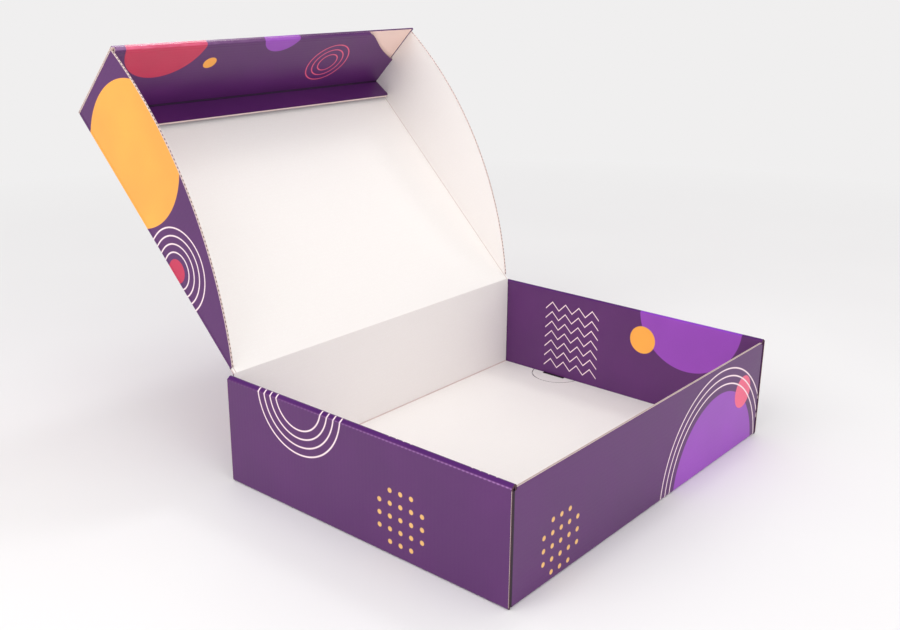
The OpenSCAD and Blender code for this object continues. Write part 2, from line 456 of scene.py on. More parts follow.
def run(start, heading, lengths):
    """Points at these lengths from a start, in a direction given in degrees."""
    turn = math.radians(heading)
    return [(start[0] + a * mm * math.cos(turn), start[1] + a * mm * math.sin(turn)) for a in lengths]


def round_turn(first, last, steps=6, radius=skin_out):
    """Points on an arc about the crease's axis, from one angle to another in degrees."""
    angles = [math.radians(first + (last - first) * k / steps) for k in range(steps + 1)]
    return [(radius * math.cos(a), radius * math.sin(a)) for a in angles]


skins = {}

# %% [markdown]
# The open lid leans back past upright, so its hinge is a valley on the printed outside and a round on
# the white inside. Each path starts on the back wall, takes short steps near the axis, where the paper
# has to bend, and longer ones up the lid.

# %% Skins of the lid's hinge
back = math.degrees(lid_open) - 90
valley = (skin_out, skin_out * (1 - 1 / math.cos(math.radians(back))) / math.tan(math.radians(back)))
outer_path = (run(valley, -90, (5, 3, 1.6, 1.2, 0.9, 0.6, 0.3)) + [valley]
              + run(valley, 90 - back, (0.3, 0.6, 0.9, 1.2, 1.6, 3, 5)))
inner_path = run((-skin_out, 0), -90, (5, 3, 1.6, 1.2, 0.8, 0.4)) + round_turn(180, 180 - back)
inner_path += run(inner_path[-1], 90 - back, (0.4, 0.8, 1.2, 1.6, 3, 5))
for name, path in (("hinge_skin_outside", outer_path), ("hinge_skin_inside", inner_path)):
    skin = crease_skin(name, path, 2 * lid_half_w, Matrix.Translation(hinge))
    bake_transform(skin)
    skins[name] = skin
    tell(skin)

# %% [markdown]
# The three flaps stand square to the lid. The front flap's crease needs a skin on the outside only,
# because the flange hides the inside. On a side flap both faces are seen: the outside goes round the
# crease, and the inside is a plain corner. Their legs are short, because the flap is low at its heel.

# %% Skin of the front flap's crease
path = run((0, skin_out), 0, (5, 3, 1.6, 0.8)) + round_turn(90, 180, 8)
path += run((-skin_out, 0), -90, (0.8, 1.6, 3, 5))
skin = crease_skin("flap_skin_outside", path, 2 * (lid_half_w - board),
                   lid_rest @ Matrix.Translation(flap_fold))
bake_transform(skin)
skins[skin.name] = skin
tell(skin)

# %% Skins of the side flaps' creases
over = run((0, skin_out), 0, (3, 2, 1.2, 0.6)) + round_turn(90, 180, 8)
over += run((-skin_out, 0), -90, (0.5, 1.0, 1.5))
corner = (skin_out, -skin_out)
under = (run(corner, 0, (3, 1.5, 0.8, 0.4)) + run(corner, -45, (0.12,))
         + run(corner, -90, (0.4, 0.8, 1.1)))
skin_length = wing_end - wing_start - 1 * mm
for side, word in both_sides:
    body = "side_flap_" + word
    for face, path in (("outside", over), ("inside", under)):
        inward = Vector((-side, 0, 0))
        middle = Vector((side * side_fold.x, -(wing_start + wing_end) / 2, 0))
        along = inward.cross(Vector((0, 0, 1)))
        skin = crease_skin(body + "_skin_" + face, path, skin_length,
                           lid_rest @ axes(along, inward, Vector((0, 0, 1)), middle))
        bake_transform(skin)
        skins[skin.name] = skin
        tell(skin)

# %% [markdown]
# ## Small helpers for shader nodes
# A material is a tree of nodes, and wiring it by hand takes many lines. These helpers each make one
# node in the newest tree, plug in numbers or other nodes' outputs, and hand back the output, so
# that a tree reads like a sum. Colours are written as a picture program shows them and turned into
# linear light.

# %% Node helpers
trees = []


def here(kind):
    """A new node in the tree that is being wired, which is the last one in the list."""
    return trees[-1].nodes.new(kind)


def ink(red, green, blue):
    """A colour in linear light from its numbers in a picture program."""
    parts = [(v / 255 + 0.055) / 1.055 for v in (red, green, blue)]
    return (*[part ** 2.4 for part in parts], 1.0)


def plug(socket, value):
    if isinstance(value, bpy.types.NodeSocket):
        trees[-1].links.new(value, socket)
    else:
        socket.default_value = value


def calc(operation, *values):
    node = here("ShaderNodeMath")
    node.operation = operation
    for socket, value in zip(node.inputs, values):
        plug(socket, value)
    return node.outputs[0]


def vector_calc(operation, first, second, output="Vector"):
    node = here("ShaderNodeVectorMath")
    node.operation = operation
    plug(node.inputs[0], first)
    plug(node.inputs[1], second)
    return node.outputs[output]


def times(first, second):
    return vector_calc("MULTIPLY", first, second)


def product(first, second):
    return calc("MULTIPLY", first, second)


def fade(value, empty, full):
    """0 at the value empty and 1 at the value full, straight in between."""
    node = here("ShaderNodeMapRange")
    for name, setting in (("Value", value), ("From Min", empty), ("From Max", full)):
        plug(node.inputs[name], setting)
    return node.outputs["Result"]


def mix_colour(mask, below, above):
    node = here("ShaderNodeMix")
    node.data_type = "RGBA"
    for place, value in ((0, mask), (6, below), (7, above)):
        plug(node.inputs[place], value)
    return node.outputs[2]


def mix_value(mask, below, above):
    node = here("ShaderNodeMix")
    for place, value in ((0, mask), (2, below), (3, above)):
        plug(node.inputs[place], value)
    return node.outputs[0]


def noise(point, scale, detail=2.0):
    node = here("ShaderNodeTexNoise")
    plug(node.inputs["Vector"], point)
    node.inputs["Scale"].default_value = scale
    node.inputs["Detail"].default_value = detail
    return node.outputs["Fac"]


def split(vector):
    node = here("ShaderNodeSeparateXYZ")
    plug(node.inputs[0], vector)
    return node.outputs


def new_group(name, inputs, outputs):
    """An empty group, which is wired from here on, what comes in to it and what goes out."""
    group = bpy.data.node_groups.new(name, "ShaderNodeTree")
    trees.append(group)
    for direction, sockets in (("INPUT", inputs), ("OUTPUT", outputs)):
        for label, kind in sockets.items():
            group.interface.new_socket(label, in_out=direction, socket_type="NodeSocket" + kind)
    came_in = here("NodeGroupInput").outputs
    goes_out = here("NodeGroupOutput").inputs
    return group, came_in, goes_out


def use(group, inputs):
    """Places a group, with these values or links on its inputs."""
    node = here("ShaderNodeGroup")
    node.node_tree = group
    for label, value in inputs.items():
        plug(node.inputs[label], value)
    return node.outputs


# %% [markdown]
# ## Printed shapes
# The print is a plain geometric pattern: discs, sets of rings, fields of dots and zigzag lines.
# Each shape is a group that measures the distance from a centre in millimetres, in all three
# directions, so a shape that reaches a fold runs on over it as ink on one sheet does.

# %% Discs and rings
blur = 0.2


def distance_from(came_in):
    return vector_calc("DISTANCE", came_in["Point"], came_in["Centre"], "Value")


def sharp(size, distance):
    """1 where the distance is under the size, with a thin soft border."""
    return fade(calc("SUBTRACT", size, distance), -blur, blur)


shape_in = {"Point": "Vector", "Centre": "Vector"}
disc_group, came_in, goes_out = new_group(
    "printed_disc", {**shape_in, "Radius": "Float"}, {"Mask": "Float"})
plug(goes_out["Mask"], sharp(came_in["Radius"], distance_from(came_in)))

rings_group, came_in, goes_out = new_group(
    "printed_rings",
    {**shape_in, "First": "Float", "Last": "Float", "Spacing": "Float", "Line": "Float"},
    {"Mask": "Float"})
far = distance_from(came_in)
from_ring = calc("PINGPONG", calc("SUBTRACT", far, came_in["First"]),
                 calc("DIVIDE", came_in["Spacing"], 2.0))
line = sharp(calc("DIVIDE", came_in["Line"], 2.0), from_ring)
below_last = calc("LESS_THAN", far, came_in["Last"])
above_first = calc("GREATER_THAN", far, calc("SUBTRACT", came_in["First"], came_in["Line"]))
plug(goes_out["Mask"], product(line, product(below_last, above_first)))
print("shape groups:", disc_group.name, rings_group.name)

# %% Dots and zigzag lines
field_in = {**shape_in, "Along": "Vector", "Across": "Vector", "Spacing": "Float", "Reach": "Float"}


def field_steps(came_in):
    """Steps along and across a field from its centre, and 1 on the panel that carries it."""
    step = vector_calc("SUBTRACT", came_in["Point"], came_in["Centre"])
    along, across = (
        vector_calc("DOT_PRODUCT", step, came_in[way], "Value") for way in ("Along", "Across"))
    on_panel = calc("LESS_THAN", distance_from(came_in), product(came_in["Reach"], 1.6))
    return along, across, on_panel


def nearest_row(value, spacing):
    """The multiple of the spacing that lies nearest to the value."""
    return calc("SNAP", calc("ADD", value, calc("DIVIDE", spacing, 2.0)), spacing)


def length_of(first, second):
    squares = [calc("POWER", calc("ABSOLUTE", value), 2.0) for value in (first, second)]
    return calc("SQRT", calc("ADD", *squares))


dots_group, came_in, goes_out = new_group(
    "printed_dots", {**field_in, "Radius": "Float"}, {"Mask": "Float"})
*steps, on_panel = field_steps(came_in)
rows = [nearest_row(value, came_in["Spacing"]) for value in steps]
from_dot = length_of(*[calc("SUBTRACT", *pair) for pair in zip(steps, rows)])
within = calc("LESS_THAN", length_of(*rows), came_in["Reach"])
plug(goes_out["Mask"], product(sharp(came_in["Radius"], from_dot), product(within, on_panel)))

zigzag_group, came_in, goes_out = new_group(
    "printed_zigzag", {**field_in, "Height": "Float", "Line": "Float"}, {"Mask": "Float"})
along, across, on_panel = field_steps(came_in)
bend = calc("PINGPONG", along, came_in["Height"])
lifted = calc("SUBTRACT", across, bend)
row = nearest_row(lifted, came_in["Spacing"])
from_line = calc("ABSOLUTE", calc("SUBTRACT", lifted, row))
farthest = calc("MAXIMUM", *[calc("ABSOLUTE", value) for value in (along, row)])
within = calc("LESS_THAN", farthest, came_in["Reach"])
half_line = calc("DIVIDE", came_in["Line"], 2.0)
plug(goes_out["Mask"], product(sharp(half_line, from_line), product(within, on_panel)))
print("shape groups:", dots_group.name, zigzag_group.name)

# %% [markdown]
# ## The print, laid out on the sheet
# One short list holds the shapes of each side of the sheet, in the tray's own millimetres or, for
# the lid, in those of the lid laid flat. A loop turns a list into a group that gives the ink's
# colour at any point, so the layout can be changed without touching a node.

# %% Inks and layouts
purple, violet = ink(86, 32, 99), ink(148, 66, 182)
coral, crimson = ink(236, 96, 130), ink(200, 44, 84)
orange, gold, blush = ink(252, 172, 70), ink(236, 184, 112), ink(250, 226, 232)
SIDE, UP, LENGTH = (0, 1, 0), (0, 0, 1), (1, 0, 0)


def disc(centre, radius, colour):
    return disc_group, {"Centre": centre, "Radius": radius}, colour


def rings(centre, first, last, colour, spacing=6.0, line=1.1):
    return rings_group, {"Centre": centre, "First": first, "Last": last, "Spacing": spacing,
                         "Line": line}, colour


def dots(centre, along, across, reach, colour, spacing=9.0, radius=1.7):
    return dots_group, {"Centre": centre, "Along": along, "Across": across, "Reach": reach,
                        "Spacing": spacing, "Radius": radius}, colour


def zigzag(centre, along, across, reach, colour, spacing=9.0, height=7.0, line=1.1):
    return zigzag_group, {"Centre": centre, "Along": along, "Across": across, "Reach": reach,
                          "Spacing": spacing, "Height": height, "Line": line}, colour


tray_outside = [
    disc((92, -125, -6), 62, violet), disc((132, -125, 46), 13, coral),
    rings((92, -125, -6), 68, 81, blush), dots((-112, -125, 24), LENGTH, UP, 22, gold),
    rings((-164, 52, 84), 22, 41, blush), dots((-164, -40, 28), SIDE, UP, 24, gold),
    disc((164, 30, 30), 24, orange), rings((164, 30, 30), 30, 43, blush),
    disc((164, -60, 82), 30, violet), zigzag((164, -62, 24), SIDE, UP, 21, blush),
    disc((-90, 125, 84), 56, violet), disc((-52, 125, 30), 12, orange),
    zigzag((70, 125, 36), LENGTH, UP, 28, blush), disc((40, 40, 0), 70, violet),
]
tray_inside = [
    disc((159, -62, 84), 46, violet), disc((159, -20, 56), 12, orange),
    zigzag((159, 52, 36), SIDE, UP, 28, blush), disc((-159, 50, 0), 46, violet),
    disc((-159, 4, 44), 13, coral), rings((-159, -70, 82), 24, 43, blush),
]
lid_outside = [
    disc((46, -120, 1), 74, violet), disc((-80, -64, 1), 36, orange),
    rings((-78, -178, 1), 22, 47, blush), disc((112, -182, 1), 17, coral),
    dots((100, -48, 1), LENGTH, SIDE, 30, gold), disc((-159, -172, -30), 54, orange),
    rings((-159, -86, -4), 14, 33, blush), disc((-159, -86, -4), 9, crimson),
    disc((159, -120, -4), 48, violet), disc((159, -60, -10), 12, coral),
    dots((159, -190, -34), SIDE, UP, 24, gold), disc((84, -237, -76), 52, violet),
    rings((84, -237, -76), 58, 71, blush), disc((-92, -237, -34), 16, crimson),
]
flap_inside = [
    disc((-112, -232, -74), 36, crimson), disc((-64, -232, -50), 6, orange),
    rings((70, -232, -38), 10, 23, coral), disc((0, -232, -78), 20, violet),
]


def print_group(name, ground, layout):
    """A group that gives the colour of a layout's shapes, each over the last, on a ground of ink."""
    group, came_in, goes_out = new_group(name, {"Point": "Vector"}, {"Colour": "Color"})
    colour = ground
    for shape, sizes, shade in layout:
        mask = use(shape, {"Point": came_in["Point"], **sizes})["Mask"]
        colour = mix_colour(mask, colour, shade)
    plug(goes_out["Colour"], colour)
    return group


tray_outside_print = print_group("tray_outside_print", purple, tray_outside)
tray_inside_print = print_group("tray_inside_print", purple, tray_inside)
lid_outside_print = print_group("lid_outside_print", purple, lid_outside)
flap_inside_print = print_group("flap_inside_print", purple, flap_inside)
print("printed shapes:", len(tray_outside + tray_inside + lid_outside + flap_inside))

# %% [markdown]
# ## Finishes of the board
# Three finishes meet on this box. Printed liner is satin, with a slightly uneven ink film. White
# liner is matt, with fine fibres. On both the flutes behind show as faint ribs, a "washboard" that a
# low light brings out. A raw edge is rough pale paper, with painted shade where a flute lies open. Each
# is a group, so that the tray, the lid, the flaps and the small pieces can all wear it.

# %% Ink film, white liner and raw edge
pitch_in_mm = flute_pitch / mm
finish_in = {"Point": "Vector", "Across": "Float"}
finish_out = {"Colour": "Color", "Roughness": "Float", "Height": "Float"}


def washboard(across):
    return calc("COSINE", product(across, 2 * math.pi / pitch_in_mm))


def fibres(point):
    stretched = times(point, (0.6, 1.0, 1.0))
    return noise(stretched, 2.2, 4.0)


ink_film, came_in, goes_out = new_group(
    "ink_film", {**finish_in, "Ink": "Color", "Burnish": "Float"}, finish_out)
cloud = noise(came_in["Point"], 0.02)
speck = noise(came_in["Point"], 1.3, 3.0)
lighter = mix_colour(fade(cloud, 0.35, 0.7), came_in["Ink"], times(came_in["Ink"], (1.14, 1.14, 1.12)))
plug(goes_out["Colour"], mix_colour(fade(speck, 0.58, 0.8), lighter, times(lighter, (0.9, 0.9, 0.9))))
plug(goes_out["Roughness"], mix_value(came_in["Burnish"], mix_value(cloud, 0.34, 0.46), 0.2))
plug(goes_out["Height"], calc(
    "ADD", product(washboard(came_in["Across"]), 0.25),
    product(fibres(came_in["Point"]), 0.5)))

white_liner, came_in, goes_out = new_group("white_liner", {**finish_in, "Warmth": "Float"}, finish_out)
fibre = fibres(came_in["Point"])
ribs = washboard(came_in["Across"])
chalk = mix_colour(fade(fibre, 0.3, 0.75), ink(243, 238, 234), ink(250, 247, 244))
ribbed = mix_colour(fade(ribs, 1.6, -1.0), ink(246, 241, 238), chalk)
plug(goes_out["Colour"], mix_colour(came_in["Warmth"], ribbed, times(ribbed, (1.0, 0.72, 0.64))))
plug(goes_out["Roughness"], mix_value(fibre, 0.55, 0.75))
plug(goes_out["Height"], calc("ADD", product(ribs, 0.2), product(fibre, 0.7)))

raw_edge, came_in, goes_out = new_group("raw_edge", {"Point": "Vector", "Hollow": "Float"}, finish_out)
grain = noise(came_in["Point"], 3.0, 4.0)
tone = noise(came_in["Point"], 0.25)
pale = mix_colour(tone, ink(238, 214, 208), ink(252, 236, 230))
# The dark tone is painted shade inside an open flute, mixed in by the Hollow input.
hollow_shade = mix_colour(tone, ink(66, 40, 50), ink(96, 66, 74))
cut_tone = mix_colour(came_in["Hollow"], pale, hollow_shade)
plug(goes_out["Colour"], mix_colour(
    fade(grain, 0.35, 0.75), cut_tone,
    times(cut_tone, (0.86, 0.82, 0.82))))
plug(goes_out["Roughness"], mix_value(grain, 0.8, 0.95))
plug(goes_out["Height"], grain)
print("finish groups:", ink_film.name, white_liner.name, raw_edge.name)

# %% [markdown]
# ## Which side of the sheet is it?
# The CAD node of the tray is one solid, so its material has to tell the printed side from the
# white side and from the cut edges. It can, from the place of a point alone: what lies within half
# a board of the outside is printed, what bounds the room inside is white, and the plies of the
# rolled side walls show the printed side again. Each rule ends in a mask that is 1 where it holds.


# %% Where a point lies
def new_material(name):
    """A material, which is wired from here on, and its shader."""
    material = bpy.data.materials.new(name)
    material.use_nodes = True
    trees.append(material.node_tree)
    return material, material.node_tree.nodes["Principled BSDF"]


def in_mm(place):
    return times(place, (1000, 1000, 1000))


def row_point():
    """The point in the tray's millimetres."""
    return in_mm(here("ShaderNodeTexCoord").outputs["Object"])


def flat_lid(source, kind):
    """A point in the millimetres of the lid laid flat, or a normal turned the same way."""
    is_point = kind == "TEXTURE"
    node = here("ShaderNodeMapping")
    node.vector_type = kind
    plug(node.inputs["Vector"], source)
    node.inputs["Rotation"].default_value = (-lid_open if is_point else lid_open, 0, 0)
    if is_point:
        node.inputs["Location"].default_value = hinge
        node.inputs["Scale"].default_value = (mm, mm, mm)
    return node.outputs[0]


def lid_point():
    """The point and the normal on the lid laid flat."""
    coordinates = here("ShaderNodeTexCoord").outputs
    return (flat_lid(coordinates["Object"], "TEXTURE"), flat_lid(coordinates["Normal"], "VECTOR"))


# %% [markdown]
# A rule such as "above this height and inside that wall" is built from subtractions: each says how far
# a point is past a limit or short of it. The smallest of them is over 0 only where all hold, and the
# largest is over 0 where any of them does. Finishes are then laid over each other by these masks, as
# coats of paint are.


# %% Masks from places
def largest(*values):
    return reduce(lambda first, second: calc("MAXIMUM", first, second), values)


def smallest(*values):
    return reduce(lambda first, second: calc("MINIMUM", first, second), values)


def size_of(value):
    return calc("ABSOLUTE", value)


def past(value, limit):
    return calc("SUBTRACT", value, limit)


def short_of(value, limit):
    return calc("SUBTRACT", limit, value)


def any_over(*values):
    """1 where at least one of the values is over 0."""
    return calc("GREATER_THAN", largest(*values), 0.0)


def all_over(*values):
    """1 where every one of the values is over 0."""
    return calc("GREATER_THAN", smallest(*values), 0.0)


# %% Finishes laid over each other
bump_strength, bump_depth = 0.35, 0.08 * mm


def art_of(print_on_side, point):
    """The ink's colour at a point of one side of the sheet."""
    return use(print_on_side, {"Point": point})["Colour"]


def cut_at(point, hollow):
    """Raw edge at a point; hollow is 0 for pale paper and 1 for the painted shade of an open flute."""
    return use(raw_edge, {"Point": point, "Hollow": hollow})


def wear_finishes(shader, finishes):
    """Lays finishes over each other by their masks: the first is the ground."""
    (_, ground), *others = finishes
    colour, rough, height = (ground[name] for name in ("Colour", "Roughness", "Height"))
    for mask, finish in others:
        colour = mix_colour(mask, colour, finish["Colour"])
        rough = mix_value(mask, rough, finish["Roughness"])
        height = mix_value(mask, height, finish["Height"])
    bump = here("ShaderNodeBump")
    bump.inputs["Strength"].default_value = bump_strength
    bump.inputs["Distance"].default_value = bump_depth
    plug(bump.inputs["Height"], height)
    plug(shader.inputs["Base Color"], colour)
    plug(shader.inputs["Roughness"], rough)
    plug(shader.inputs["Normal"], bump.outputs["Normal"])
    shader.inputs["Specular IOR Level"].default_value = 0.5


# %% [markdown]
# The limits for the tray come from its own sizes. A hair of room is left at each, so that a face that
# lies just on a limit isn't torn between two finishes.

# %% Sides of the tray's sheet
sheet, hair = board / mm, 0.1
squarely, slanting, rolling = 0.9, 0.5, 0.4
edge_x, edge_y, top_z = half_w / mm, half_d / mm, tray_h / mm
inner_face, lid_edge = edge_x - roll_width / mm, lid_half_w / mm
ply_front, ply_back = inner_face - 2 * hair, inner_face + sheet + 3 * hair
tray_board, shader = new_material("tray_board")
point = row_point()
x, y, z = split(point)
wide, deep = size_of(x), size_of(y)
_, facing_y, facing_up = split(here("ShaderNodeTexCoord").outputs["Normal"])
facing_end = size_of(facing_y)
outside = largest(past(wide, edge_x), past(deep, edge_y), product(z, -1.0))
printed = any_over(past(outside, -sheet / 2), past(wide, ply_front))
inner_ply = all_over(short_of(wide, ply_back), short_of(deep, edge_y - 5 * hair), past(z, 5 * hair))
across = mix_value(any_over(past(facing_end, slanting)), y, z)
print("inner ply in mm from", round(ply_front, 1), "to", round(ply_back, 1))

# %% [markdown]
# The cut edges are told apart by the way they face as well: the ends of the side walls face the front
# or the back, the top of the front wall faces up, and the cuts of the locks stand in the floor.

# %% Cut edges of the tray
roll_end, lock_reach = 4.3, 4
outer_ply = edge_x - sheet - hair / 2
ply_end = all_over(
    past(facing_end, squarely), past(deep, edge_y - hair),
    largest(past(wide, outer_ply),
            smallest(past(wide, lid_edge + 2 * hair), past(z, top_z - roll_end))))
cut_top = all_over(
    past(facing_up, squarely), past(z, top_z - front_drop / mm - 2 * hair),
    short_of(wide, lid_edge + hair))
lock_cut = all_over(
    short_of(size_of(facing_up), slanting), short_of(z, sheet + hair),
    short_of(wide, inner_face - hair), short_of(deep, edge_y - lock_reach))
print("outer ply from", round(outer_ply, 2), "mm")

# %% [markdown]
# Some narrow places look dark because no light gets in: the slit between a side wall and the front
# wall, and the slot round a lock's tab, and that shade is painted into them as a dark purple film. A
# fold of the white floor shows as a fine darker line along its valley. On the rolled top of a side
# wall the dark ink is painted deeper and bluer, as painted shade for a strip that faces up to the
# darker ceiling; the pale lines stay pale.

# %% Painted shade in gaps, fold lines and the rolled top
gap_reach, gap_depth, roll_reach = 3.4, 3, 8
tab_from_end, tab_half = 57, 11.5
fold_line_width = 0.7
# Painted shade: a dark purple for the slits and lock slots, and a deeper, bluer tint for the rolled top.
gap_shade_colour, rolled_top_shade_tint = ink(34, 12, 34), (0.85, 0.65, 1.1)
corner_gap_shade = all_over(
    past(wide, edge_x - gap_reach), short_of(wide, outer_ply),
    past(deep, edge_y - gap_depth), short_of(z, top_z - gap_depth), past(z, sheet))
from_tab = size_of(past(deep, edge_y - tab_from_end))
tab_slot_shade = all_over(
    short_of(from_tab, tab_half), past(wide, inner_face - 3 * hair),
    short_of(wide, ply_back), short_of(z, sheet + 3 * hair))
floor_fold = sharp(fold_line_width, length_of(past(deep, edge_y - sheet), past(z, sheet)))
rolled_top = all_over(past(facing_up, rolling), past(wide, ply_front), past(z, top_z - roll_reach))
print("rules for the tray:", len(trees[-1].nodes), "nodes")

# %% Material of the tray
art = mix_colour(inner_ply, art_of(tray_outside_print, point), art_of(tray_inside_print, point))
dark_ink = fade(split(art)[1], 0.3, 0.1)
# painted shade: the dark ink on the rolled top is made deeper and bluer
art = mix_colour(product(rolled_top, dark_ink), art, times(art, rolled_top_shade_tint))
on_sheet = {"Point": point, "Across": across}
wear_finishes(shader, [
    (None, use(white_liner, on_sheet)),
    (floor_fold, cut_at(point, 0.2)),
    (printed, use(ink_film, {**on_sheet, "Ink": art})),
    # painted shade in the corner slits and lock slots, laid as a dark purple film
    (largest(corner_gap_shade, tab_slot_shade), use(ink_film, {**on_sheet, "Ink": gap_shade_colour})),
    (cut_top, cut_at(point, 0.5)),
    (largest(ply_end, lock_cut), cut_at(point, 1.0))])
print(tray_board.name, len(trees[-1].nodes), "nodes")

# %% [markdown]
# ## The lid and its flaps
# The lid stands open, so its print is laid out in the millimetres of the lid laid flat: a Mapping
# node of the Texture kind undoes the turn about the hinge. The panel, the two side flaps and the
# front flap differ only in the rule that tells their sides apart. Along the arc of a side flap each
# flute's open hollow is given painted shade, so the edge shows as a row of dark ticks even from far away.


# %% Materials of the lid panel and the side flaps
def lid_material(name, sides, along_z=False, warmth=0.0):
    """sides gives the print's mask and film, and the raw edge's mask and share of painted hollow shade.
    """
    material, shader = new_material(name)
    point, normal = lid_point()
    on_sheet = {"Point": point, "Across": split(point)[2 if along_z else 1]}
    printed, film, raw, hollow = sides(split(point), split(normal), point)
    wear_finishes(shader, [
        (None, use(white_liner, {**on_sheet, "Warmth": warmth})),
        (printed, use(ink_film, {**on_sheet, **film})),
        (raw, cut_at(point, hollow))])
    print(material.name, len(trees[-1].nodes), "nodes")
    return material


def panel_sides(at, facing, point):
    printed = any_over(past(at[2], -2 * hair), past(at[1], 2 * hair))
    raw = any_over(past(size_of(facing[0]), squarely))
    return printed, {"Ink": art_of(lid_outside_print, point)}, raw, 0.2


def arc_hollow_shade(at):
    """Painted shade of the hollows along a side flap's arc, counted in flutes from its middle."""
    flutes_in_turn = round(arc_radius * arc_span / flute_pitch) / arc_span
    turn = calc("ARCTAN2", past(at[1], arc_centre.y / mm), short_of(at[2], arc_centre.z / mm))
    flutes = product(past(turn, arc_middle), flutes_in_turn)
    wave = calc("SINE", product(flutes, 2 * math.pi))
    # painted shade: a dark tick at each flute's hollow
    return mix_value(fade(wave, -0.3, 0.3), 0.2, 1.0)


def wing_sides(at, facing, point):
    crease_foot = -1.2
    printed = any_over(past(size_of(at[0]), side_fold.x / mm + 2 * hair), past(at[2], 3 * hair))
    raw = all_over(short_of(size_of(facing[0]), slanting), short_of(at[2], crease_foot))
    return printed, {"Ink": art_of(lid_outside_print, point)}, raw, arc_hollow_shade(at)


panel_board = lid_material("panel_board", panel_sides)
wing_board = lid_material("wing_board", wing_sides)

# %% [markdown]
# The front flap carries three marks. Its turned edge is burnished smoother, and a painted sheen
# lightens its ink in streaks, most towards the left end. The crease of its flange is a dark line of
# painted shade. And where the right corner of the inner ply is cut away, the bare board shows as far
# as the slit beside the side flap.

# %% Material of the front flap
flap_inner_y = flap_fold.y / mm + sheet / 2
flap_tip = (flap_fold.z - flap_height) / mm
tip_inside, tip_dull, tip_bright = flap_tip + 1.2, flap_tip + 1.4, flap_tip + 0.4
slit_width = 0.7
slit_x = (side_fold.x - board / 2) / mm - slit_width
# The turned edge is burnished smoother and carries a painted sheen, most towards the left end.
burnish_sheen_none, burnish_sheen_full = 60, -130
sheen_paint_light = (0.18, 0.12, 0.17)
# Painted shade: a dark line along the crease of the flange.
valley_shade_width, valley_shade_colour = 0.9, ink(44, 16, 54)


def flap_art(at, point):
    """The flap's ink, with a painted sheen in streaks on the turned edge, and how far that edge is
    burnished.
    """
    inside = any_over(past(at[1], flap_inner_y + 3 * hair), short_of(at[2], tip_inside))
    art = mix_colour(inside, art_of(lid_outside_print, point), art_of(flap_inside_print, point))
    burnish_and_sheen = product(fade(at[2], tip_dull, tip_bright), fade(at[0], burnish_sheen_none, burnish_sheen_full))
    streaks = noise(times(point, (0.15, 1, 1)), 0.8, 3.0)
    # painted sheen: the ink is lightened in streaks where the edge is burnished
    painted_sheen = product(burnish_and_sheen, fade(streaks, 0.1, 0.6))
    return mix_colour(painted_sheen, art, vector_calc("ADD", art, sheen_paint_light)), burnish_and_sheen


def flap_sides(at, facing, point):
    bare = all_over(
        past(facing[1], slanting), past(at[1], flap_inner_y - 2 * hair),
        short_of(at[1], flap_inner_y + 2 * hair), short_of(at[0], slit_x))
    printed = short_of(bare, 1.0)
    flange_cut = all_over(past(facing[1], squarely), past(at[1], flange_end.y / mm - 1))
    plain_cut = any_over(past(size_of(facing[0]), 0.3))
    # painted shade: a dark line along the crease of the flange
    valley = sharp(valley_shade_width, length_of(
        past(at[1], bend_middle.y / mm), past(at[2], bend_middle.z / mm)))
    art, burnish_and_sheen = flap_art(at, point)
    film = {"Ink": mix_colour(valley, art, valley_shade_colour), "Burnish": burnish_and_sheen}
    return printed, film, largest(plain_cut, flange_cut), mix_value(flange_cut, 0.5, 0.1)


flap_board = lid_material("flap_board", flap_sides, along_z=True, warmth=0.8)

# %% [markdown]
# ## Materials of the small pieces
# Each skin keeps the place that its points have at rest in an attribute of its own, and its material
# reads the print from there, so the ink stays in place if the points move. The cut edges are of
# plain paper: pale where the waves stand free, a little darker on a straight cut, where a little of
# the painted shade of an open hollow is mixed in.


# %% Hinge skin and cut paper
def rest_point():
    node = here("ShaderNodeAttribute")
    node.attribute_name = "rest_point"
    return node.outputs["Vector"]


def skin_row_point():
    return in_mm(rest_point())


def skin_lid_point():
    return flat_lid(rest_point(), "TEXTURE")


def wear_ink(shader, point, art):
    """One film of ink all over a piece."""
    film = {"Point": point, "Across": split(point)[1], "Ink": art}
    wear_finishes(shader, [(None, use(ink_film, film))])


def bare_paper(name, hollow):
    material, shader = new_material(name)
    wear_finishes(shader, [(None, cut_at(row_point(), hollow))])
    return material


printed_hinge, shader = new_material("printed_hinge")
point = skin_row_point()
wear_ink(shader, point, art_of(tray_outside_print, point))
fluted_paper, cut_paper = bare_paper("fluted_paper", 0.0), bare_paper("cut_paper", 0.2)
print("made", printed_hinge.name, fluted_paper.name, cut_paper.name)

# %% [markdown]
# ## Painted glints on the beads, and fine lines in the creases
# Where a fold's beads stand highest they catch the light, so a row of pale dots is painted on them as
# painted glints. The mask is the nearness of the fold's ridge times the wave of the flutes. On the
# white side, a side flap's crease has a fine darker line in its valley.

# %% Beaded folds and printed skins
# Painted glints: a pale violet on the beads, strongest at the front of a wall.
bead_glint_colour = ink(166, 116, 180)
glint_none, glint_full = 150, -150
ridge = (fold_height + crease_radius * math.sin((math.pi / 2 - roll_slope) / 2)) / mm


def bead_glints(from_ridge, across, between):
    """1 on the beads of a ridge, where the painted glints go; between says how clear the gaps stay."""
    near_ridge = fade(from_ridge, 0.55, 0.15)
    return product(near_ridge, fade(washboard(across), between, 1.0))


printed_fold, shader = new_material("printed_fold")
point = row_point()
_, y, z = split(point)
beads = bead_glints(size_of(past(z, ridge)), past(y, -edge_y), between=-2.2)
# painted glints on the beads, fading from the front of the wall to its back
painted_glints = product(beads, fade(y, glint_none, glint_full))
wear_ink(shader, point, mix_colour(painted_glints, art_of(tray_outside_print, point), bead_glint_colour))

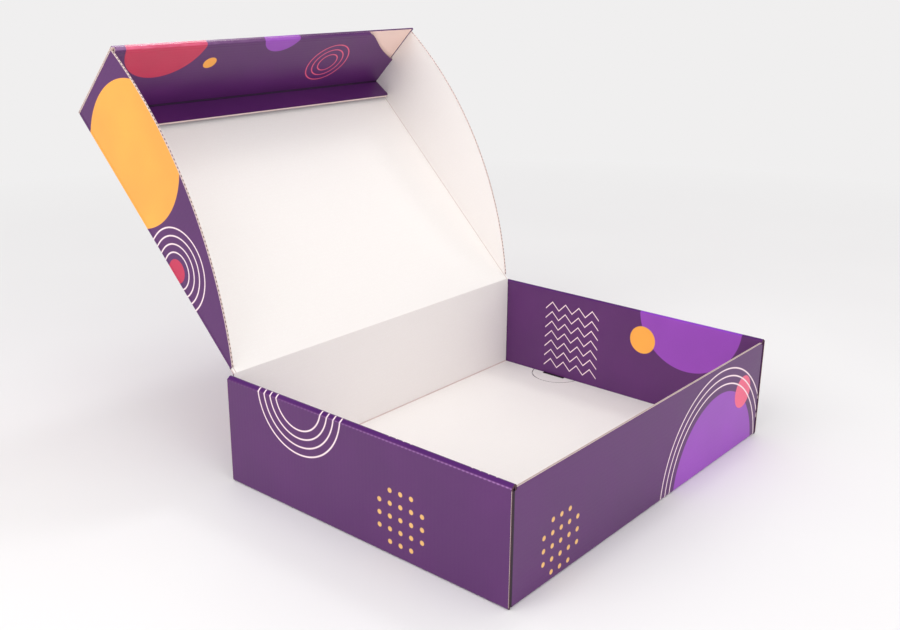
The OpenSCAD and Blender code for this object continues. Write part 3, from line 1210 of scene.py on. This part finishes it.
printed_skin, shader = new_material("printed_skin")
point = skin_lid_point()
x, y, z = split(point)
past_crease = past(size_of(x), side_fold.x / mm)
beads = bead_glints(size_of(past(past_crease, z)), y, between=-0.6)
# painted glints on the beads of the skin
wear_ink(shader, point, mix_colour(beads, art_of(lid_outside_print, point), bead_glint_colour))
print("made", printed_fold.name, printed_skin.name)

# %% White skins with a fine line in their valleys
valley_x, valley_z = (side_fold.x - skin_out) / mm, -skin_out / mm
white_skin, shader = new_material("white_skin")
point = skin_lid_point()
x, y, z = split(point)
valley_line = sharp(fold_line_width / 2, length_of(past(size_of(x), valley_x), past(z, valley_z)))
wear_finishes(shader, [
    (None, use(white_liner, {"Point": point, "Across": y})),
    (valley_line, cut_at(point, 0.3))])
print("made", white_skin.name)

# %% [markdown]
# Every piece is there now, and so is every finish. A small piece's name tells which finish it gets: an
# inside skin is white and an outside one printed, a fluted edge is pale and a straight cut a little
# darker.

# %% Put every material on its pieces
for node, material in (("tray", tray_board), ("lid_panel", panel_board), ("lid_front_flap", flap_board),
                       ("lid_side_flap_left", wing_board), ("lid_side_flap_right", wing_board)):
    frame["nodes"][node].material_slots[0].material = material
for fold in roll_folds:
    fold.data.materials.append(printed_fold)
for name, skin in skins.items():
    white = name.endswith("inside")
    skin.data.materials.append(
        white_skin if white else printed_hinge if name.startswith("hinge") else printed_skin)
for edge in cut_edges:
    edge.data.materials.append(fluted_paper if edge.name.startswith("fluted") else cut_paper)
turned_edge.data.materials.append(flap_board)
print("pieces with a material:", len([*frame["nodes"], *roll_folds, *skins, *cut_edges, turned_edge]))

# %% [markdown]
# ## Floor and light
# The photograph is a high-key one: a white table, white surroundings and light from all sides. A
# pale sky gives most of the light, and large soft lamps give it a direction. The sky that the camera
# sees is set apart from the light with a Light Path node, so it stays pale at any level, and satin ink
# mirrors a darker ceiling. Just the small lamp shows, as a glint on the flap's turned edge.

# %% Floor
floor_size = 8.0
haze_near, haze_far = 400, 1300
bpy.ops.object.select_all(action="DESELECT")
bpy.ops.mesh.primitive_circle_add(vertices=96, radius=floor_size / 2, fill_type="NGON")
floor = bpy.context.object
floor.name = floor.data.name = "floor"
floor_paint, shader = new_material("floor_paint")
point = row_point()
patchy = noise(point, 0.004)
plug(shader.inputs["Base Color"], mix_colour(patchy, ink(242, 240, 241), ink(246, 245, 245)))
plug(shader.inputs["Roughness"], mix_value(patchy, 0.5, 0.65))
backdrop = ink(240, 239, 239)
haze = here("ShaderNodeEmission")
haze.inputs["Color"].default_value = backdrop
blend = here("ShaderNodeMixShader")
away = vector_calc("DISTANCE", point, (0, 0, 0), "Value")
plug(blend.inputs[0], fade(away, haze_near, haze_far))
plug(blend.inputs[1], shader.outputs[0])
plug(blend.inputs[2], haze.outputs[0])
plug(floor_paint.node_tree.nodes["Material Output"].inputs["Surface"], blend.outputs[0])
floor.data.materials.append(floor_paint)
print("floor across in metres:", floor_size)

# %% Sky and lamps
world = bpy.data.worlds.new("studio")
bpy.context.scene.world = world
world.use_nodes = True
trees.append(world.node_tree)
sky = world.node_tree.nodes["Background"]
rays = here("ShaderNodeLightPath").outputs
seen = largest(rays["Is Camera Ray"], rays["Is Transmission Ray"])
upward = split(here("ShaderNodeTexCoord").outputs["Generated"])[2]
mirrored = mix_value(fade(upward, 0.1, 0.65), 1.0, 0.16)
sky.inputs["Color"].default_value = backdrop
unseen = mix_value(rays["Is Glossy Ray"], 0.8, mirrored)
plug(sky.inputs["Strength"], mix_value(seen, unseen, 1.0))


def soft_lamp(name, place, target, size, power, mirrored=False):
    bpy.ops.object.select_all(action="DESELECT")
    bpy.ops.object.light_add(type="AREA", location=place)
    lamp = bpy.context.object
    lamp.name = name
    lamp.data.shape = "DISK"
    lamp.data.size, lamp.data.energy = size, power
    lamp.visible_glossy = mirrored
    lamp.rotation_euler = (Vector(target) - Vector(place)).to_track_quat("-Z", "Y").to_euler()
    return lamp


middle = (0, 0.1, 0.1)
lamps = [
    soft_lamp("left_lamp", (-1.5, 0.2, 1.3), middle, size=1.6, power=12.5),
    soft_lamp("overhead_lamp", (-0.2, -0.2, 2.0), middle, size=1.6, power=4),
    soft_lamp("front_lamp", (-0.5, -1.5, 0.8), middle, size=1.4, power=8),
    soft_lamp("glint_lamp", (1.06, 0.12, 1.88), middle, size=0.4, power=4, mirrored=True)]
bpy.context.scene.view_settings.view_transform = "Standard"
print("lamps:", [lamp.name for lamp in lamps])
